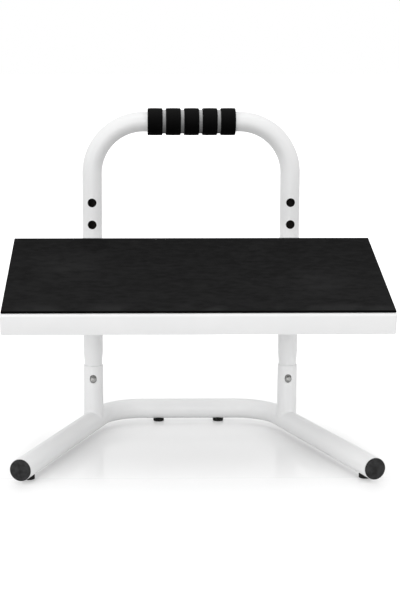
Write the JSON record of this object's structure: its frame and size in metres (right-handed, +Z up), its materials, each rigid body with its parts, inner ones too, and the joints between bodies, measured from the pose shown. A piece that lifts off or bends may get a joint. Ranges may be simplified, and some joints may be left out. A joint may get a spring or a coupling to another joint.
{
  "type": "footrest",
  "caption": "Free-standing footrest: sloped steel platform with a rubber mat, sliding in height on a bent-tube stand whose arched handle has a foam grip.",
  "frame": {"origin": "on the floor, under the middle of the box that holds the whole object", "axes": "+Z up, -Y towards the user, from the handle to the platform's low front edge, +X to the right seen from the front"},
  "size_m": [0.482, 0.3429, 0.4517],
  "materials": {
    "white_powder_coat": "semi-gloss white powder coat with a faint orange peel",
    "mat_rubber": "matt black with a fine leathery grain",
    "grip_foam_black": "matt black closed-cell foam",
    "grip_foam_grey": "matt grey closed-cell foam",
    "cap_plastic": "charcoal moulded plastic with a fine spark texture",
    "pad_rubber": "matt black moulded rubber",
    "zinc_steel": "bright zinc plate"
  },
  "bodies": {
    "stand": {"base_tube": "white_powder_coat", "left_post": "white_powder_coat", "right_post": "white_powder_coat", "left_post_weld": "white_powder_coat", "right_post_weld": "white_powder_coat", "left_end_cap": "cap_plastic", "right_end_cap": "cap_plastic", "front_left_pad": "pad_rubber", "front_right_pad": "pad_rubber", "rear_left_pad": "pad_rubber", "rear_right_pad": "pad_rubber", "front_left_pad_screw": "zinc_steel", "front_right_pad_screw": "zinc_steel", "rear_left_pad_screw": "zinc_steel", "rear_right_pad_screw": "zinc_steel", "handle_frame": "white_powder_coat", "grip_core": "grip_foam_grey", "grip_ring_1": "grip_foam_black", "grip_ring_2": "grip_foam_black", "grip_ring_3": "grip_foam_black", "grip_ring_4": "grip_foam_black", "grip_ring_5": "grip_foam_black", "left_button_spring": "zinc_steel", "right_button_spring": "zinc_steel"},
    "platform": {"platform_tray": "white_powder_coat", "rubber_mat": "mat_rubber", "left_sleeve": "white_powder_coat", "right_sleeve": "white_powder_coat", "left_bracket": "white_powder_coat", "right_bracket": "white_powder_coat", "left_bracket_weld_front": "white_powder_coat", "left_bracket_weld_rear": "white_powder_coat", "right_bracket_weld_front": "white_powder_coat", "right_bracket_weld_rear": "white_powder_coat", "left_rear_stud": "zinc_steel", "left_front_stud": "zinc_steel", "right_rear_stud": "zinc_steel", "right_front_stud": "zinc_steel", "left_rear_washer": "zinc_steel", "left_front_washer": "zinc_steel", "right_rear_washer": "zinc_steel", "right_front_washer": "zinc_steel", "left_rear_nut": "zinc_steel", "left_front_nut": "zinc_steel", "right_rear_nut": "zinc_steel", "right_front_nut": "zinc_steel"},
    "left_snap_button": {"left_button": "zinc_steel"},
    "right_snap_button": {"right_button": "zinc_steel"},
    "left_pin": {"left_stop_pin": "zinc_steel", "left_pin_knob": "cap_plastic"},
    "right_pin": {"right_stop_pin": "zinc_steel", "right_pin_knob": "cap_plastic"}
  },
  "joints": [
    {"name": "platform_height", "type": "slide", "parent": "stand", "child": "platform", "axis": [0, 0, 1], "range_m": [0, 0.09]},
    {"name": "left_button_press", "type": "slide", "parent": "stand", "child": "left_snap_button", "axis": [0, 1, 0], "range_m": [0, 0.0045], "stiffness_N_per_m": 1500, "springref_m": -0.002, "deforming": ["left_button_spring"]},
    {"name": "right_button_press", "type": "slide", "parent": "stand", "child": "right_snap_button", "axis": [0, 1, 0], "range_m": [0, 0.0045], "stiffness_N_per_m": 1500, "springref_m": -0.002, "deforming": ["right_button_spring"]},
    {"name": "left_pin_pull", "type": "slide", "parent": "stand", "child": "left_pin", "axis": [0, -1, 0], "range_m": [0, 0.024]},
    {"name": "right_pin_pull", "type": "slide", "parent": "stand", "child": "right_pin", "axis": [0, -1, 0], "range_m": [0, 0.024]}
  ]
}
